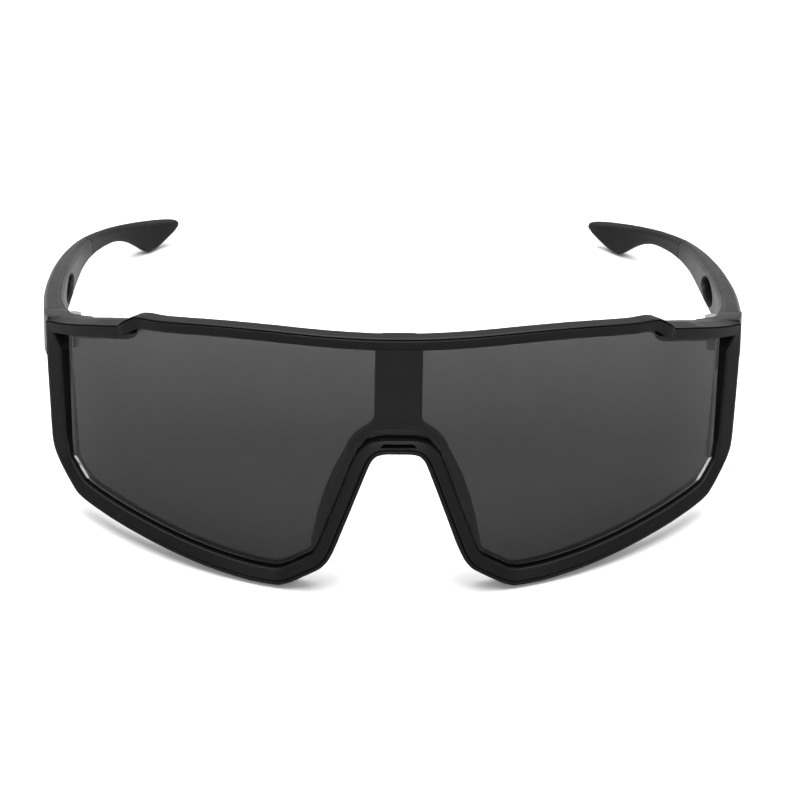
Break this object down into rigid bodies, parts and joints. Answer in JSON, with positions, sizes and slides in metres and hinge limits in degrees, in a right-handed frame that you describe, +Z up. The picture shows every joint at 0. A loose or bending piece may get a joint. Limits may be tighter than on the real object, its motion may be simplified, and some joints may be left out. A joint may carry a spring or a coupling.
{
  "type": "wraparound sport sunglasses",
  "caption": "Single-shield wraparound sunglasses with a full rim, raised stepped brow, nose pads and folding curved side arms with rubber ear ends.",
  "frame": {"origin": "on the floor under the middle of the whole part, as it rests on the rim and on both ear lobes", "axes": "-Y is the way the front looks, +X is the wearer's left, +Z is up from the floor"},
  "size_m": [0.1546, 0.1584, 0.0553],
  "materials": {
    "frame": "satin black moulded nylon",
    "lens": "smoke grey polished polycarbonate",
    "bracket": "matt black moulded nylon",
    "rubber": "soft matt black",
    "hinge_steel": "brushed",
    "screw_steel": "bright"
  },
  "bodies": {
    "front": {"front_frame": "frame", "shield_lens": "lens", "nose_bracket": "bracket", "left_nose_pad": "rubber", "right_nose_pad": "rubber", "left_front_hinge": "hinge_steel", "right_front_hinge": "hinge_steel", "left_hinge_screw": "screw_steel", "right_hinge_screw": "screw_steel"},
    "left_temple": {"left_temple_arm": "frame", "left_temple_hinge": "hinge_steel", "left_ear_sock": "rubber"},
    "right_temple": {"right_temple_arm": "frame", "right_temple_hinge": "hinge_steel", "right_ear_sock": "rubber"}
  },
  "joints": [
    {"name": "left_temple_fold", "type": "hinge", "parent": "front", "child": "left_temple", "pos_m": [0.06785, -0.02993, 0.03346], "axis": [0, 0.2817, 0.9595], "range_deg": [0, 90]},
    {"name": "right_temple_fold", "type": "hinge", "parent": "front", "child": "right_temple", "pos_m": [-0.06785, -0.02993, 0.03346], "axis": [0, -0.2817, -0.9595], "range_deg": [0, 75]}
  ]
}
